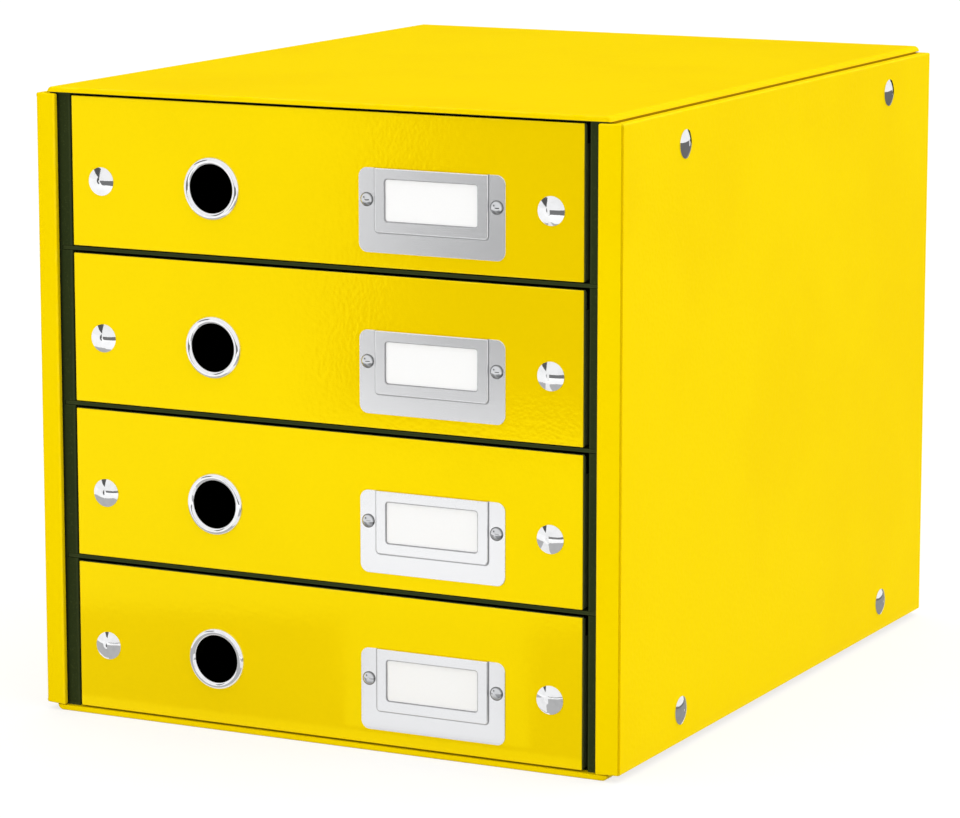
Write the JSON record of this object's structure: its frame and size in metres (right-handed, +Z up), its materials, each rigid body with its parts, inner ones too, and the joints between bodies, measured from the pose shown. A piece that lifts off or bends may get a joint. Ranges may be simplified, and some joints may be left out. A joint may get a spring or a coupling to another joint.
{
  "type": "desk drawer unit",
  "caption": "Free-standing desktop cabinet of glossy yellow laminated board with sliding drawers, chromed finger rings and press studs, and metal label holders.",
  "frame": {"origin": "on the floor, under the middle of the unit's overall box", "axes": "+X to the right as seen from the front, +Y to the back, +Z up; the drawers open towards -Y"},
  "size_m": [0.29, 0.3578, 0.2834],
  "materials": {
    "yellow_board": "gloss",
    "dark_board": "matte",
    "chrome": "polished",
    "socket_steel": "satin",
    "label_steel": "satin",
    "rivet_steel": "polished",
    "label_card": "matte"
  },
  "bodies": {
    "case": {"top_cover": "yellow_board", "base_cover": "yellow_board", "back_panel": "yellow_board", "left_side_panel": "yellow_board", "right_side_panel": "yellow_board", "left_liner": "dark_board", "right_liner": "dark_board", "shelf_1": "dark_board", "shelf_2": "dark_board", "shelf_3": "dark_board", "left_side_studs": "chrome", "left_stud_sockets": "socket_steel", "right_side_studs": "chrome", "right_stud_sockets": "socket_steel"},
    "drawer_1": {"drawer_1_facing": "yellow_board", "drawer_1_tray": "dark_board", "drawer_1_studs": "chrome", "drawer_1_stud_sockets": "socket_steel", "drawer_1_finger_ring": "chrome", "drawer_1_ring_washer": "socket_steel", "drawer_1_label_plate": "label_steel", "drawer_1_rivets": "rivet_steel"},
    "label_1": {"drawer_1_label_card": "label_card"},
    "drawer_2": {"drawer_2_facing": "yellow_board", "drawer_2_tray": "dark_board", "drawer_2_studs": "chrome", "drawer_2_stud_sockets": "socket_steel", "drawer_2_finger_ring": "chrome", "drawer_2_ring_washer": "socket_steel", "drawer_2_label_plate": "label_steel", "drawer_2_rivets": "rivet_steel"},
    "label_2": {"drawer_2_label_card": "label_card"},
    "drawer_3": {"drawer_3_facing": "yellow_board", "drawer_3_tray": "dark_board", "drawer_3_studs": "chrome", "drawer_3_stud_sockets": "socket_steel", "drawer_3_finger_ring": "chrome", "drawer_3_ring_washer": "socket_steel", "drawer_3_label_plate": "label_steel", "drawer_3_rivets": "rivet_steel"},
    "label_3": {"drawer_3_label_card": "label_card"},
    "drawer_4": {"drawer_4_facing": "yellow_board", "drawer_4_tray": "dark_board", "drawer_4_studs": "chrome", "drawer_4_stud_sockets": "socket_steel", "drawer_4_finger_ring": "chrome", "drawer_4_ring_washer": "socket_steel", "drawer_4_label_plate": "label_steel", "drawer_4_rivets": "rivet_steel"},
    "label_4": {"drawer_4_label_card": "label_card"}
  },
  "joints": [
    {"name": "drawer_1_slide", "type": "slide", "parent": "case", "child": "drawer_1", "axis": [0, -1, 0], "range_m": [0, 0.28]},
    {"name": "drawer_2_slide", "type": "slide", "parent": "case", "child": "drawer_2", "axis": [0, -1, 0], "range_m": [0, 0.28]},
    {"name": "drawer_3_slide", "type": "slide", "parent": "case", "child": "drawer_3", "axis": [0, -1, 0], "range_m": [0, 0.28]},
    {"name": "drawer_4_slide", "type": "slide", "parent": "case", "child": "drawer_4", "axis": [0, -1, 0], "range_m": [0, 0.28]},
    {"name": "label_1_slide", "type": "slide", "parent": "drawer_1", "child": "label_1", "axis": [0, 0, 1], "range_m": [0, 0.0245]},
    {"name": "label_2_slide", "type": "slide", "parent": "drawer_2", "child": "label_2", "axis": [0, 0, 1], "range_m": [0, 0.0245]},
    {"name": "label_3_slide", "type": "slide", "parent": "drawer_3", "child": "label_3", "axis": [0, 0, 1], "range_m": [0, 0.0245]},
    {"name": "label_4_slide", "type": "slide", "parent": "drawer_4", "child": "label_4", "axis": [0, 0, 1], "range_m": [0, 0.0245]}
  ]
}
